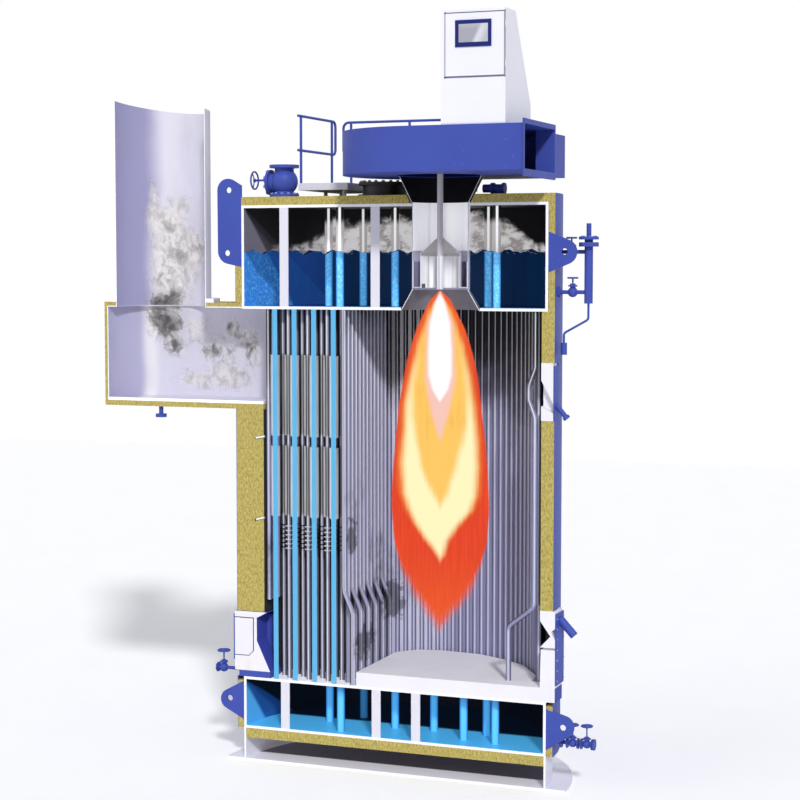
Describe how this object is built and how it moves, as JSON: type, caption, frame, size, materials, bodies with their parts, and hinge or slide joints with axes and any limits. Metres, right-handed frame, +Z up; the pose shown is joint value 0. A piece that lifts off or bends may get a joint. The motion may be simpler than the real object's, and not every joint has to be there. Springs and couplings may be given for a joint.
{
  "type": "half-section industrial water-tube boiler",
  "caption": "Vertical oil-fired boiler shown as a half section: steam and water drums, tube walls, top burner with windbox, flue box with stack, valves and platform.",
  "frame": {"origin": "on the ground under the drums' axis, in the cut plane", "axes": "+X to the right along the cut, +Y back through the kept half, +Z up"},
  "size_m": [7.853, 4.125, 10.975],
  "materials": {
    "blue_paint": "satin blue enamel",
    "white_steel": "pale primed plate",
    "tube_steel": "drawn tube, matt",
    "bright_steel": "bright rolled sheet",
    "dark_steel": "sooted heat-resisting steel",
    "water_tube": "cut face painted sky blue",
    "mineral_wool": "pressed yellow mineral wool",
    "refractory": "cast pale refractory",
    "cabinet_white": "satin white enamel",
    "screen_dark": "dark glossy display"
  },
  "bodies": {
    "boiler": {"air_register": "bright_steel", "base_plate": "white_steel", "base_skirt": "white_steel", "blowdown_valves": "blue_paint", "burner_flare": "dark_steel", "burner_funnel": "dark_steel", "burner_lance": "bright_steel", "burner_throat": "bright_steel", "casing_sheet": "blue_paint", "casing_side_tubes": "tube_steel", "control_cabinet": "cabinet_white", "convection_tubes": "tube_steel", "drain_valve": "blue_paint", "flame_tube": "bright_steel", "flue_box": "white_steel", "flue_box_insulation": "mineral_wool", "flue_drain": "blue_paint", "furnace_floor": "refractory", "furnace_partition": "tube_steel", "furnace_wall_tubes": "tube_steel", "gas_side_insulation": "mineral_wool", "left_door_box": "blue_paint", "left_door_cover": "blue_paint", "left_door_refractory": "refractory", "lifting_lugs": "blue_paint", "lower_drum_bottom_plate": "white_steel", "lower_drum_insulation": "mineral_wool", "lower_drum_shell": "white_steel", "lower_drum_stays": "white_steel", "lower_tube_plate": "white_steel", "manhole": "dark_steel", "peephole_block": "refractory", "peephole_sight_tube": "blue_paint", "platform_deck": "white_steel", "platform_railings": "blue_paint", "right_door_cover": "blue_paint", "right_door_refractory": "refractory", "section_tubes": "water_tube", "stack": "white_steel", "stack_flange": "white_steel", "steam_valve": "blue_paint", "upper_drum_insulation": "mineral_wool", "upper_drum_shell": "white_steel", "upper_drum_stays": "white_steel", "upper_drum_top_plate": "white_steel", "upper_tube_plate": "white_steel", "vent_valve": "blue_paint", "water_gauge": "blue_paint", "windbox": "blue_paint", "windbox_inlet_flange": "blue_paint"},
    "cabinet_door_body": {"cabinet_door": "cabinet_white", "touch_screen": "screen_dark"},
    "steam_wheel": {"steam_valve_handwheel": "blue_paint"},
    "blowdown_inner_wheel": {"blowdown_inner_handwheel": "blue_paint"},
    "blowdown_outer_wheel": {"blowdown_outer_handwheel": "blue_paint"},
    "drain_wheel": {"drain_valve_handwheel": "blue_paint"},
    "upper_gauge_wheel": {"upper_gauge_handle": "blue_paint"},
    "lower_gauge_wheel": {"lower_gauge_handle": "blue_paint"}
  },
  "joints": [
    {"name": "cabinet_door_hinge", "type": "hinge", "parent": "boiler", "child": "cabinet_door_body", "pos_m": [2.215, -1.392, 10.5], "axis": [0, 0, 1], "range_deg": [0, 110]},
    {"name": "steam_valve_turn", "type": "hinge", "parent": "boiler", "child": "steam_wheel", "pos_m": [-2.355, 0.37, 8.817], "axis": [1, 0, 0], "range_deg": [0, 720]},
    {"name": "blowdown_inner_turn", "type": "hinge", "parent": "boiler", "child": "blowdown_inner_wheel", "pos_m": [2.764, 0.14, 0.962], "axis": [0, 0, 1], "range_deg": [0, 720]},
    {"name": "blowdown_outer_turn", "type": "hinge", "parent": "boiler", "child": "blowdown_outer_wheel", "pos_m": [2.972, 0.14, 0.962], "axis": [0, 0, 1], "range_deg": [0, 720]},
    {"name": "drain_valve_turn", "type": "hinge", "parent": "boiler", "child": "drain_wheel", "pos_m": [-2.864, 0.25, 1.609], "axis": [0, 0, 1], "range_deg": [0, 720]},
    {"name": "upper_gauge_turn", "type": "hinge", "parent": "boiler", "child": "upper_gauge_wheel", "pos_m": [2.686, 0.19, 7.925], "axis": [0, 0, 1], "range_deg": [0, 720]},
    {"name": "lower_gauge_turn", "type": "hinge", "parent": "boiler", "child": "lower_gauge_wheel", "pos_m": [2.706, 0.19, 7.36], "axis": [0, 0, 1], "range_deg": [0, 720]}
  ]
}
